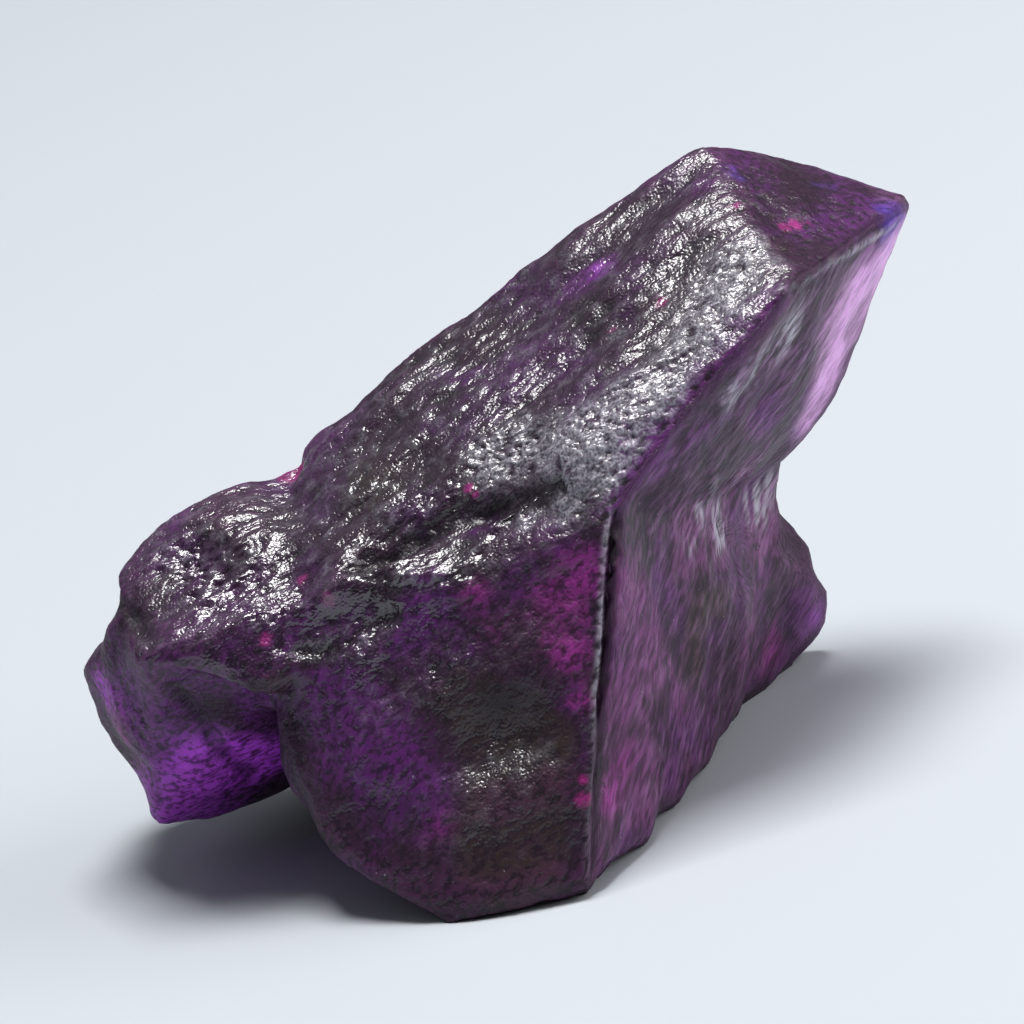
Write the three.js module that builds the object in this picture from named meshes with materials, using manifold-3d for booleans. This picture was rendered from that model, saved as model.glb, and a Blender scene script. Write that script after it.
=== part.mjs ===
// A rough sapphire: one broken, water-worn piece of dark violet crystal lying on its broken base.
// Millimetres, +Z up. The origin is on the resting plane, under the middle of the stone. -Y is the front.
import * as THREE from "three";
import { ConvexGeometry } from "three/addons/geometries/ConvexGeometry.js";
import { ImprovedNoise } from "three/addons/math/ImprovedNoise.js";
import { mergeVertices } from "three/addons/utils/BufferGeometryUtils.js";
import Module from "manifold-3d";

// Driving dimensions
const SKIN_DETAIL = 20; // the skin has 20 * (detail + 1)^2 triangles
const SKIN_STRETCH = 1.7; // spreads the skin's vertices evenly over the long shape
const HEART = new THREE.Vector3(-1, 0.5, 12); // a point inside, from which the whole surface can be seen
const LONG_AXIS = new THREE.Vector3(0.85, 0.12, 0.42).normalize(); // along the upper slab
const STEEP_AXIS = new THREE.Vector3(0.35, 0.25, 0.9).normalize(); // along the lines on the right-hand faces

// How the skin takes the crystal's edges, and how they are worn
const UNLIKE = 0.9; // planes meet in a crystal edge if the cosine between them is below this
const SNAP_REACH = 0.55; // a vertex moves onto an edge from this share of the way to its neighbours
const SNAP_PASSES = 30;
const WEAR_IN = 0.5; // each wear draws a vertex in by this share of the way to its neighbours' middle
const WEAR_OUT = 0.53; // and then out by this share, so that the stone doesn't shrink
const EVEN_ROUNDS = 3; // rounds of evening out the directions in which the relief stands

// Corners of the crystal, named as seen from the front
const CORNER = {
  endTop: [12.2, 6.5, 28.4],
  endNear: [14.5, -4.5, 23.5],
  endRight: [22, 8.5, 22.8],
  endLow: [21, 10, 19.8],
  endBack: [17.5, 12, 25],
  topLeft: [-9, 5, 18.8],
  topLeftFront: [-10.3, 2, 18.2],
  slabFrontLeft: [-12, -5.5, 14],
  slabFront: [-4, -7, 16],
  slabFrontRight: [2.5, -7.5, 18],
  ridgeTop: [4.6, -8.6, 16.5],
  waistBack: [13.5, 7, 11.5],
  waistFront: [5, -5, 12.5],
  slabBackRight: [13.5, 14, 18],
  slabBack: [3, 14, 13],
  slabBackLeft: [-8, 13, 10],
  ridgeFoot: [-0.9, -14.2, -1],
  baseFront: [-5, -14, -1],
  baseFrontLeft: [-6, -13.2, -0.5],
  leftFoot: [-11.5, -9.5, 3],
  leftHip: [-13, -5, 6],
  leftWaist: [-13, -5, 10],
  leftBrow: [-10.3, -6.8, 13],
  rightFoot: [4.4, -4.7, -1],
  heel: [9.4, 8.5, -1],
  heelTop: [13.5, 8, 11],
  baseBackLeft: [-7, 11, 0],
  baseBack: [4.5, 13.5, -1],
  backLeft: [-6.5, 13, 7],
  shoulderLeft: [-19, 1, 15.5],
  shoulderTop: [-16.5, 2.5, 17.2],
  shoulderRight: [-12.5, 4.5, 16.7],
  shoulderBrow: [-9.5, 4, 18],
  shoulderLow: [-19, -1.5, 14.5],
  shoulderFront: [-18, -5, 13],
  shoulderFrontRight: [-13, -7, 10.5],
  shoulderBack: [-15.5, 11, 12],
  lobeLeft: [-22, 2, 11],
  lobeTop: [-20.5, 1, 12.5],
  lobeSide: [-21.5, 2, 8],
  lobeTip: [-20, 1, 2.5],
  lobeKeel: [-18, 2.5, 2.5],
  lobeRoot: [-13, 2.5, 3],
  lobeBack: [-20.5, 9, 7],
  lobeBackLow: [-16, 9, 3.5],
  toe: [14.8, 12.5, 2.4],
  toeLow: [13, 13, -0.5],
  toeBack: [10.5, 14.3, -0.5],
  ankle: [10, 4, 8.5],
};

// Each block is the hull of some corners, and the stone is all of them grown together
const BLOCKS = {
  slab: `endTop endNear endRight endLow endBack topLeft topLeftFront slabFrontLeft slabFront slabFrontRight
    ridgeTop waistBack waistFront slabBackRight slabBack slabBackLeft`,
  wedge: `ridgeTop ridgeFoot baseFront baseFrontLeft leftFoot leftHip leftWaist leftBrow slabFront rightFoot
    heel heelTop baseBackLeft baseBack backLeft slabBackRight slabBack slabBackLeft`,
  shoulder: `shoulderLeft shoulderTop shoulderRight shoulderBrow shoulderLow shoulderFront shoulderFrontRight
    slabFront shoulderBack backLeft slabBackLeft`,
  lobe: `lobeLeft lobeTop lobeSide lobeTip lobeKeel lobeRoot lobeBack lobeBackLow shoulderFront shoulderLow
    leftWaist shoulderBack backLeft baseBackLeft`,
  foot: "toe toeLow heel heelTop ankle toeBack",
};

// Broken places along a line: width across, and depth into the stone or, below zero, out of it
const BREAKS = {
  ledgeUnderTop: { from: [1.4, -7.2, 17], to: [-7, -5.8, 15.5], width: 1.4, depth: 0.9 },
  islandByLedge: { from: [0.8, -8.2, 15.2], to: [3.2, -8.5, 15.5], width: 1.2, depth: -0.4 },
  lipBelowLedge: { from: [-8, -5.9, 15], to: [-3, -7.7, 14.3], width: 1.1, depth: -0.5 },
  gapBelowLip: { from: [-11, -6.8, 12.8], to: [-7.5, -7.4, 13.6], width: 0.9, depth: 0.6 },
  valleyBesideShoulder: { from: [-10, 2.5, 18], to: [-11, -5.5, 15], width: 1.6, depth: 0.8 },
  bowlInShoulder: { from: [-14.5, -1.5, 15.8], to: [-13.5, -3.5, 15], width: 2, depth: 0.5 },
  pitInFront: { from: [-3.5, -10.5, 7.2], to: [-2, -10.6, 7], width: 1.5, depth: 0.8 },
  shelfBelowPit: { from: [-3.5, -11.6, 5], to: [-1, -11.7, 5.2], width: 1.4, depth: -0.35 },
  hollowAboveHeel: { from: [10, 3, 11], to: [13, 7, 9], width: 2.5, depth: 0.6 },
  scoopInBack: { from: [-1, 14, 11], to: [3, 14, 7], width: 3.5, depth: 0.8 },
  chipLowOnBack: { from: [-9, 11, 5], to: [-6, 12, 3], width: 2.4, depth: 0.7 },
};

// Relief that grew or was worn in: wavelengths along and across the grain, and half its height
const LUMPS = { along: 7, across: 7, height: 0.4 }; // all over, less on the front face
const FLOW = { along: 11, across: 2.6, height: 0.42 }; // long waves on the top face
const STRIAE = { along: 14, across: 2.4, height: 0.22 }; // steep lines on the right-hand faces
const CRUST = { along: 3.2, across: 3.2, height: 0.3 }; // on the shoulder, the broken end and the back

// Where a kind of relief fades in: cosines to a face's direction, the x of its normal, and x in millimetres
const ON_FACE = [0.7, 0.93];
const ON_RIGHT = [0.45, 0.8];
const PAST_SHOULDER = [-11, -7];

const wasm = await Module();
wasm.setup();
const noise = new ImprovedNoise();
const point = (name) => new THREE.Vector3(...CORNER[name]);
const vertex = (skin, i) => new THREE.Vector3().fromBufferAttribute(skin.attributes.position, i);
const setVertex = (skin, i, { x, y, z }) => skin.attributes.position.setXYZ(i, x, y, z);
const { smoothstep } = THREE.MathUtils;

// A closed three.js geometry as a solid that can be joined and cut.
function solidOf(geometry) {
  const bare = new THREE.BufferGeometry().setAttribute("position", geometry.getAttribute("position"));
  bare.setIndex(geometry.index);
  const merged = mergeVertices(bare, 1e-4);
  const vertProperties = merged.attributes.position.array;
  const triVerts = new Uint32Array(merged.index.array);
  return new wasm.Manifold(new wasm.Mesh({ numProp: 3, vertProperties, triVerts }));
}

// A solid's surface as a three.js geometry.
function geometryOf(solid) {
  const mesh = solid.getMesh();
  return new THREE.BufferGeometry()
    .setAttribute("position", new THREE.BufferAttribute(mesh.vertProperties, mesh.numProp))
    .setIndex(new THREE.BufferAttribute(mesh.triVerts, 1));
}

function blockOf(names) {
  return solidOf(new ConvexGeometry(names.split(/\s+/).map(point)));
}

// The vertices joined to each vertex of a closed skin.
function neighboursIn(skin) {
  const neighbours = Array.from({ length: skin.attributes.position.count }, () => []);
  for (let i = 0; i < skin.index.count; i++) {
    const next = i - (i % 3) + ((i + 1) % 3);
    neighbours[skin.index.getX(i)].push(skin.index.getX(next));
  }
  return neighbours;
}

// A fine sphere, stretched and drawn in onto the joined blocks, with the plane under each of its vertices.
function skinOver(blocks) {
  const target = new THREE.Mesh(blocks, new THREE.MeshBasicMaterial({ side: THREE.DoubleSide }));
  const ball = new THREE.IcosahedronGeometry(1, SKIN_DETAIL);
  ball.deleteAttribute("normal");
  ball.deleteAttribute("uv");
  const skin = mergeVertices(ball);
  const planes = [];
  const caster = new THREE.Raycaster();
  const outside = 100;
  for (let i = 0; i < skin.attributes.position.count; i++) {
    const direction = vertex(skin, i);
    direction.addScaledVector(LONG_AXIS, (SKIN_STRETCH - 1) * direction.dot(LONG_AXIS)).normalize();
    caster.set(HEART.clone().addScaledVector(direction, outside), direction.clone().negate());
    const hit = caster.intersectObject(target)[0];
    planes.push(new THREE.Plane().setFromNormalAndCoplanarPoint(hit.face.normal, hit.point));
    setVertex(skin, i, hit.point);
  }
  return { skin, planes };
}

// Moves the vertices beside a crystal edge or corner onto it, where the unlike planes around them meet.
function snapToEdges(skin, planes) {
  const places = planes.map((_, i) => vertex(skin, i));
  neighboursIn(skin).forEach((neighbours, i) => {
    const meeting = [];
    for (const plane of [i, ...neighbours].map((j) => planes[j])) {
      if (meeting.every((other) => other.normal.dot(plane.normal) < UNLIKE)) meeting.push(plane);
    }
    const moved = places[i].clone();
    for (let pass = 0; pass < SNAP_PASSES; pass++) {
      meeting.forEach((plane) => plane.projectPoint(moved, moved));
    }
    const gaps = neighbours.map((j) => places[j].distanceTo(places[i]));
    const spacing = gaps.reduce((sum, gap) => sum + gap) / gaps.length;
    if (moved.distanceTo(places[i]) < SNAP_REACH * spacing) setVertex(skin, i, moved);
  });
}

// Moves each vertex towards the middle of its neighbours by a share of the way, or away from it.
function smooth(skin, share) {
  const neighbours = neighboursIn(skin);
  const places = neighbours.map((_, i) => vertex(skin, i));
  neighbours.forEach((around, i) => {
    const middle = new THREE.Vector3();
    around.forEach((j) => middle.addScaledVector(places[j], 1 / around.length));
    setVertex(skin, i, places[i].clone().lerp(middle, share));
  });
}

// Rounds the edges without shrinking the stone.
function wear(skin) {
  smooth(skin, WEAR_IN);
  smooth(skin, -WEAR_OUT);
}

// Noise between about -1 and 1, stretched along a grain direction.
function grained(place, grain, { along, across }) {
  const run = place.dot(grain);
  const rest = place.clone().addScaledVector(grain, -run).divideScalar(across);
  rest.addScaledVector(grain, run / along);
  const coarse = noise.noise(rest.x, rest.y, rest.z);
  rest.multiplyScalar(2);
  return coarse + noise.noise(rest.x, rest.y, rest.z) / 2;
}

// 1 where a surface faces the way of a crystal face given by three corners, falling to 0 beside it.
function facing(normal, ...corners) {
  const face = new THREE.Plane().setFromCoplanarPoints(...corners.map(point)).normal;
  return smoothstep(normal.dot(face), ...ON_FACE);
}

function breakDepth(place) {
  return Object.values(BREAKS).reduce((sum, { from, to, width, depth }) => {
    const line = new THREE.Line3(new THREE.Vector3(...from), new THREE.Vector3(...to));
    const away = line.closestPointToPoint(place, true, new THREE.Vector3()).distanceTo(place);
    return sum + depth * Math.exp(-((away / width) ** 2));
  }, 0);
}

// How far the relief stands out at a place on the smooth stone.
function relief(place, normal) {
  const top = facing(normal, "ridgeTop", "endNear", "topLeft") * smoothstep(place.x, ...PAST_SHOULDER);
  const front = facing(normal, "ridgeFoot", "ridgeTop", "baseFront");
  const right = smoothstep(normal.x, ...ON_RIGHT);
  const crusted = Math.max(0, 1 - top - right - front);
  return (
    LUMPS.height * grained(place, LONG_AXIS, LUMPS) * (1 - front / 2) +
    FLOW.height * grained(place, LONG_AXIS, FLOW) * top +
    STRIAE.height * grained(place, STEEP_AXIS, STRIAE) * right +
    CRUST.height * grained(place, LONG_AXIS, CRUST) * crusted -
    breakDepth(place)
  );
}

// Each vertex's outward direction, evened out over its neighbours so that relief can't fold over itself.
function outwards(skin) {
  skin.computeVertexNormals();
  const neighbours = neighboursIn(skin);
  let normals = neighbours.map((_, i) => new THREE.Vector3().fromBufferAttribute(skin.attributes.normal, i));
  for (let round = 0; round < EVEN_ROUNDS; round++) {
    normals = normals.map((normal, i) =>
      neighbours[i].reduce((sum, j) => sum.add(normals[j]), normal.clone()).normalize(),
    );
  }
  return normals;
}

function roughen(skin) {
  outwards(skin).forEach((normal, i) => {
    const here = vertex(skin, i);
    setVertex(skin, i, here.addScaledVector(normal, relief(here, normal)));
  });
}

// Breaks the stone off flat underneath and brings its middle over the origin.
function restFlat(skin) {
  const room = 100;
  const under = new THREE.BoxGeometry(room, room, room).translate(0, 0, -room / 2);
  const rested = geometryOf(solidOf(skin).subtract(solidOf(under)));
  rested.computeBoundingBox();
  const middle = rested.boundingBox.getCenter(new THREE.Vector3());
  return rested.translate(-middle.x, -middle.y, 0);
}

const blocks = Object.values(BLOCKS).map(blockOf);
const { skin, planes } = skinOver(geometryOf(blocks.reduce((stone, block) => stone.add(block))));
snapToEdges(skin, planes);
wear(skin);
roughen(skin);
wear(skin);

const violet = new THREE.MeshStandardMaterial({ color: 0x2a1236, roughness: 0.3, metalness: 0 });
const sapphire = new THREE.Mesh(restFlat(skin), violet);
sapphire.name = "sapphire";

const stone = new THREE.Group();
stone.add(sapphire);

export default stone;
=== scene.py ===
"""Rough sapphire: one worn, wet-looking crystal on a plain pale floor.

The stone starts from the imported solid, is split finely, gets its ridges, pits and cracks from a
geometry tree, and its colours from masks that are kept on its points.
"""

import math

import bmesh
import bpy
import numpy as np
from bpy.props import (
    FloatProperty,
    FloatVectorProperty,
    IntProperty,
    PointerProperty,
)
from bpy.types import Operator, Panel, PropertyGroup
from mathutils import Matrix, Vector


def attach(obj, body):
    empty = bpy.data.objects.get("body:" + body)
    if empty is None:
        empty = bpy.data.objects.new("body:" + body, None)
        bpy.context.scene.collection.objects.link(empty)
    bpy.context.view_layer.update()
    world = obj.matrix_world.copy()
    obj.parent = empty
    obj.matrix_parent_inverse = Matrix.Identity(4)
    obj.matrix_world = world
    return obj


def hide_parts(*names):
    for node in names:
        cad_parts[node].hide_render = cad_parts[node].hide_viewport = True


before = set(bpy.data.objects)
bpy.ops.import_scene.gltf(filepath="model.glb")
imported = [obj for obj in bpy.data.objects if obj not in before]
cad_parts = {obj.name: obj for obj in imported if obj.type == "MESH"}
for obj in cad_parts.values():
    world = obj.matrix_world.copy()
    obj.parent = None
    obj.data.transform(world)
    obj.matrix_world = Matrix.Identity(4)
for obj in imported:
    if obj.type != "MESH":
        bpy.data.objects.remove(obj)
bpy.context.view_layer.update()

bl_info = {
    "name": "Rough Sapphire",
    "version": (1, 0, 0),
    "blender": (4, 5, 0),
    "location": "View3D > Sidebar > Sapphire",
    "description": "Builds a rough sapphire crystal and its studio stage",
    "category": "Add Mesh",
}

MILLI = 0.001

# Directions on the stone
TOP_FACE = (-0.25, -0.46, 0.85)
FRONT_FACE = (-0.13, -0.93, 0.36)
SIDE_FACE = (0.85, -0.51, -0.09)
OVERHANG_FACE = (0.78, -0.47, -0.41)
FLOW_AXIS = (0.895, 0.224, 0.385)
OVERHANG_AXIS = (0.58, 0.526, 0.62)
UPRIGHT_AXIS = (0.115, 0.016, 0.993)

# Evening of the mesh: base height and low reach in millimetres, and rounds
BASE_HEIGHT = 0.02
LOW_REACH = 0.9
LOW_ROUNDS = 28
BROAD_ROUNDS = 40
BULGE_ROUNDS = 30

# Crystal: light bending, light lost inside per metre, and the two skins
CRYSTAL_IOR = 1.77
ABSORPTION = 300.0
BUMP_STRENGTH = 0.8
BUMP_DISTANCE = 0.00012
GLOSSY_SKIN = {
    "Transmission Weight": 0.3,
    "Specular IOR Level": 0.5,
    "Coat Roughness": 0.08,
    "Coat IOR": 1.4,
}
FROSTED_SKIN = {
    "Roughness": 0.5,
    "Transmission Weight": 0.12,
    "Specular IOR Level": 0.06,
}

# Stage
ROOM_AXIS = (0.0, 0.45, 0.89)
ROOM_COLOUR = (0.90, 0.95, 1.0, 1.0)
LAMP_COLOUR = (1.0, 0.99, 0.98)
LAMP_TARGET = (0, 0, 0.014)
FLOOR_HALF = 1.6
FLOOR_ROUGHNESS = 0.6
SENSOR_WIDTH = 36.0
CLIP_RANGE = (0.01, 10.0)

# Lines on the stone, in millimetres
CRACK_LINE = (
    (4.0, -9.2, 15.9),
    (3.4, -9.7, 14.3),
    (2.9, -10.2, 12.6),
    (2.3, -10.8, 10.5),
    (1.6, -11.4, 8.5),
    (0.9, -12.2, 6.0),
    (0.1, -13.0, 3.5),
    (-0.5, -13.6, 0.9),
)
CRACK_ACROSS = (0.976, -0.065, -0.208)
LEDGE_LINE = (
    (1.7, -6.6, 17.9),
    (-0.1, -6.1, 17.2),
    (-1.5, -5.7, 17.1),
    (-2.8, -5.1, 17.3),
    (-4.1, -5.1, 16.7),
    (-5.7, -5.3, 15.7),
    (-7.3, -5.1, 15.7),
)
WET_LINE = (
    (-8.1, -5.3, 15.5),
    (-6.5, -6.7, 15.2),
    (-5.9, -7.4, 14.9),
    (-4.4, -7.9, 14.8),
    (-2.7, -8.1, 15.0),
)
# Painted shadow in a band under the ledge below the top face
SHADE_LINE = (
    (2.4, -7.2, 17.0),
    (-0.1, -6.3, 16.8),
    (-2.1, -5.8, 16.4),
    (-4.0, -5.5, 16.0),
    (-6.1, -5.7, 15.1),
    (-7.6, -5.6, 15.0),
)
LIP_LINE = (
    (-10.9, -6.3, 12.6),
    (-9.0, -7.0, 12.6),
    (-7.3, -7.2, 13.3),
    (-6.5, -7.6, 13.9),
)
TOP_RIDGE_LINE = (
    (13.7, -4.3, 23.4),
    (11.7, -5.4, 22.2),
    (9.5, -6.4, 20.6),
    (7.2, -7.4, 19.0),
    (4.2, -9.0, 16.2),
)
# The end edge: a raised lip with a painted highlight along it
END_EDGE_LINE = (
    (14.0, -4.5, 23.3),
    (16.7, -0.3, 23.0),
    (19.1, 3.9, 22.5),
    (20.5, 5.5, 22.5),
)
LOBE_CREASE_LINE = (
    (-19.0, -1.0, 14.7),
    (-17.7, -4.4, 13.5),
    (-16.8, -4.0, 10.1),
    (-16.1, -2.8, 7.6),
    (-15.1, 0.4, 4.2),
)
FINE_LINES = (CRACK_LINE, LEDGE_LINE, WET_LINE, LIP_LINE, END_EDGE_LINE)
FINE_REACH = 0.9

# Gaps beside lines: line, shift, width and share of the crack's depth
GAPS = (
    (LEDGE_LINE, (0.1, -0.50, -0.60), 0.55, 0.55),
    (LIP_LINE, (0.0, -0.15, -0.65), 0.45, 0.6),
    (LOBE_CREASE_LINE, (0.0, 0.0, 0.0), 0.40, 0.5),
    (WET_LINE, (0.0, -0.25, -0.50), 0.40, 0.35),
)

# Lips on lines: line, width and share of the lip's height
LIPS = (
    (LEDGE_LINE, 0.45, 0.3),
    (LIP_LINE, 0.45, 0.4),
    (WET_LINE, 0.40, 0.5),
    (END_EDGE_LINE, 0.25, 0.6),
)

# Patches on the stone: centre, reach and strength, in millimetres
# The crust near the ridge: real rough skin, whose pale lace is painted sparkle
CRUST_AND_SHEEN_PATCHES = (
    ((12.5, -1.9, 24.2), 1.9, 1.0),
    ((11.2, -3.3, 23.2), 1.9, 1.0),
    ((9.5, -4.6, 22.0), 1.7, 1.0),
    ((7.6, -6.3, 20.5), 1.6, 1.0),
    ((5.5, -6.9, 19.7), 1.9, 1.0),
    ((4.0, -7.0, 19.1), 1.9, 1.0),
    ((2.6, -6.4, 18.8), 1.7, 0.9),
    ((0.9, -4.4, 19.1), 1.8, 0.8),
    ((-0.6, -4.5, 18.5), 1.5, 0.9),
    ((4.1, -8.0, 17.9), 1.4, 1.0),
    ((2.3, -8.1, 16.5), 1.1, 0.9),
    ((0.4, -7.4, 16.2), 0.7, 0.8),
    ((11.6, 1.5, 25.8), 1.2, 0.6),
)
WET_PATCHES = (
    ((-8.2, 0.1, 17.9), 2.2, 0.9),
    ((-6.0, 0.4, 18.8), 2.2, 0.9),
    ((-6.0, -3.0, 17.3), 2.2, 1.0),
    ((-4.3, -4.8, 17.0), 1.6, 1.0),
    ((-3.5, -0.7, 19.5), 2.2, 0.8),
    ((-14.4, -1.0, 15.7), 2.6, 1.0),
    ((-12.8, -3.7, 14.7), 2.2, 1.0),
    ((-14.1, -6.0, 13.2), 1.8, 0.9),
    ((-9.3, -6.5, 14.3), 2.0, 1.0),
    ((-6.5, -7.0, 14.6), 1.6, 1.0),
    ((-8.3, -8.0, 11.6), 1.1, 0.7),
    ((-5.0, -8.5, 12.8), 1.0, 0.7),
)
SPONGE_PATCHES = (
    ((-15.8, -0.3, 15.8), 1.6, 1.0),
    ((-14.4, -1.0, 15.7), 1.8, 1.0),
    ((-13.0, -2.1, 15.7), 1.6, 1.0),
    ((-14.7, -3.3, 14.5), 1.6, 1.0),
    ((-12.7, -5.0, 13.8), 1.6, 0.9),
    ((-10.6, -5.6, 13.8), 1.4, 0.9),
)
VIOLET_PATCHES = (
    ((6.3, 2.3, 24.3), 1.3, 0.9),
    ((4.7, 2.2, 23.5), 1.2, 0.6),
    ((-0.7, 0.9, 21.1), 1.2, 0.6),
    ((-2.2, 2.2, 21.0), 1.2, 0.5),
    ((-8.9, -9.5, 7.8), 3.2, 0.9),
    ((-10.2, -7.9, 10.0), 2.2, 0.9),
    ((-7.1, -11.0, 5.4), 2.2, 0.7),
    ((-4.7, -8.3, 13.8), 1.6, 1.0),
    ((-6.0, -8.4, 12.2), 1.2, 0.8),
    ((-1.7, -6.4, 16.4), 1.5, 0.6),
    ((-19.1, -2.6, 10.2), 3.0, 1.0),
    ((-18.6, -2.7, 7.5), 2.6, 1.0),
    ((-15.8, 2.0, 17.0), 1.4, 0.7),
    ((11.2, -3.4, 18.4), 2.2, 0.5),
    ((8.9, -5.4, 17.5), 2.0, 0.6),
    ((12.6, 0.5, 15.9), 2.0, 0.8),
    ((12.6, 9.4, 3.3), 2.2, 0.8),
    ((12.1, 3.2, 27.0), 1.2, 0.8),
    ((18.0, 8.5, 23.6), 2.6, 0.7),
)
MAGENTA_PATCHES = (
    ((1.1, -9.7, 12.9), 1.5, 0.9),
    ((2.5, -9.6, 14.0), 1.3, 1.0),
    ((1.0, -10.6, 10.8), 1.3, 0.9),
    ((1.0, -11.4, 8.6), 0.8, 0.9),
    ((-2.7, -8.8, 13.9), 1.0, 0.8),
    ((-2.0, -9.7, 11.6), 1.4, 0.4),
    ((-6.4, -11.6, 4.2), 1.6, 0.5),
    ((1.3, -11.6, 3.7), 1.0, 1.0),
    ((2.4, -9.9, 4.7), 1.4, 0.7),
    ((-21.2, -0.6, 10.4), 1.5, 1.0),
    ((-20.6, -0.8, 8.4), 1.2, 0.8),
    ((-19.6, 0.4, 6.0), 1.4, 0.7),
    ((16.0, 5.8, 15.9), 1.4, 0.8),
    ((10.7, 7.9, 2.1), 1.6, 0.8),
)
SPOT_PATCHES = (
    ((8.6, -1.8, 23.3), 0.28, 1.0),
    ((8.5, -1.5, 23.6), 0.18, 0.9),
    ((6.2, -1.7, 22.5), 0.25, 0.6),
    ((-1.9, -5.1, 17.6), 0.30, 1.0),
    ((-1.6, -5.5, 17.3), 0.24, 0.8),
    ((-10.1, 3.3, 17.6), 0.65, 0.9),
    ((-9.7, 3.5, 17.8), 0.5, 0.9),
    ((-10.3, -4.2, 14.7), 0.34, 0.8),
    ((-9.3, -6.5, 14.3), 0.5, 0.6),
    ((-12.5, -6.3, 13.0), 0.4, 0.7),
    ((15.1, 0.9, 24.8), 0.34, 0.9),
    ((15.6, 1.4, 24.6), 0.36, 0.9),
    ((16.1, 1.8, 24.4), 0.30, 0.8),
    ((13.1, 1.3, 26.2), 0.3, 0.7),
    ((0.1, -12.8, 4.4), 0.4, 0.9),
    ((0.3, -12.6, 5.3), 0.3, 0.8),
    ((0.5, -12.4, 6.2), 0.25, 0.7),
)
OLIVE_PATCHES = (
    ((-2.7, -12.4, 4.9), 2.6, 1.0),
    ((-4.0, -12.8, 2.9), 2.2, 0.9),
    ((-1.2, -11.2, 7.1), 1.8, 1.0),
    ((-3.9, -10.4, 9.0), 2.2, 0.8),
    ((-3.5, -13.4, 1.5), 2.2, 0.8),
    ((7.3, -2.4, 8.0), 1.6, 0.8),
    ((6.2, -3.5, 5.6), 1.6, 0.7),
    ((8.5, -0.4, 8.1), 1.2, 0.7),
    ((-6.0, -2.0, 18.0), 2.4, 0.7),
    ((-12.6, -7.0, 10.9), 1.0, 0.8),
    ((14.5, -1.0, 24.3), 1.4, 0.6),
)
MAUVE_PATCHES = (
    ((4.2, -9.0, 11.9), 2.0, 1.0),
    ((4.6, -7.0, 8.7), 2.4, 1.0),
    ((2.8, -10.0, 7.7), 1.6, 1.0),
    ((2.9, -9.2, 3.4), 2.2, 1.0),
    ((5.7, -4.3, 5.0), 1.6, 0.7),
    ((7.6, -2.4, 12.0), 2.2, 0.8),
    ((9.2, 1.0, 11.0), 2.0, 0.9),
    ((11.5, 6.3, 9.0), 2.4, 0.9),
    ((11.0, 2.1, 13.3), 1.6, 0.7),
    ((9.7, 3.5, 4.4), 2.0, 0.9),
)
# Painted glow: bright lilac on the thin rims at the far right, for light shining through them
LILAC_PATCHES = (
    ((20.2, 7.6, 20.6), 2.2, 1.0),
    ((18.6, 6.4, 18.8), 2.2, 1.0),
    ((17.2, 5.4, 17.5), 2.0, 1.0),
    ((16.0, 5.2, 16.0), 1.7, 0.9),
    ((15.1, 6.0, 14.2), 1.6, 0.8),
    ((18.0, 4.0, 20.4), 1.9, 0.55),
    ((16.6, 2.8, 19.0), 2.2, 0.4),
)
# Painted glow on the thin left-hand lobe, its underside and a few other thin places
GLOW_PATCHES = (
    ((-19.1, -2.6, 9.6), 2.4, 0.3),
    ((-16.1, -2.1, 6.0), 2.4, 1.0),
    ((-14.4, -0.7, 4.9), 2.0, 1.0),
    ((-18.2, -1.5, 5.5), 2.2, 0.55),
    ((-20.9, -0.2, 10.4), 1.5, 0.6),
    ((-19.0, 1.5, 4.0), 2.4, 0.8),
    ((-17.0, 4.0, 3.4), 2.6, 0.7),
    ((13.3, 10.7, 2.2), 1.6, 0.5),
    ((6.3, 2.3, 24.3), 1.2, 0.45),
    ((-10.6, -8.6, 5.0), 1.4, 0.3),
)
CRUMBLE_PATCHES = (
    ((14.5, 3.4, 26.2), 2.6, 0.8),
    ((16.2, 3.6, 25.2), 2.6, 0.8),
    ((18.7, 5.5, 24.2), 2.2, 0.6),
    ((14.5, -1.0, 24.3), 1.6, 0.8),
    ((-3.0, -10.5, 7.0), 1.3, 1.0),
    ((-2.5, -11.9, 5.7), 1.0, 0.7),
    ((-4.5, -9.4, 10.6), 1.6, 0.8),
    ((-8.3, -8.0, 11.6), 1.3, 0.9),
    ((-12.9, -6.4, 11.6), 1.5, 0.8),
    ((-18.9, -2.6, 9.6), 2.4, 0.5),
    ((-17.2, -4.2, 12.0), 1.6, 0.7),
)
FROST_PATCHES = (
    ((8.8, -1.2, 13.3), 1.3, 1.0),
    ((9.2, 1.0, 11.2), 1.5, 1.0),
    ((11.7, 6.3, 10.3), 1.9, 0.9),
    ((11.0, 2.1, 13.3), 1.3, 0.8),
    ((7.6, -2.4, 11.9), 1.0, 0.6),
    ((14.2, -2.0, 20.7), 1.7, 0.8),
    ((12.5, -3.7, 20.1), 1.6, 0.9),
    ((11.2, -4.5, 19.0), 1.5, 0.8),
    ((14.6, 1.4, 18.4), 1.7, 0.5),
    ((3.2, -8.6, 2.4), 1.0, 0.5),
)
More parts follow.
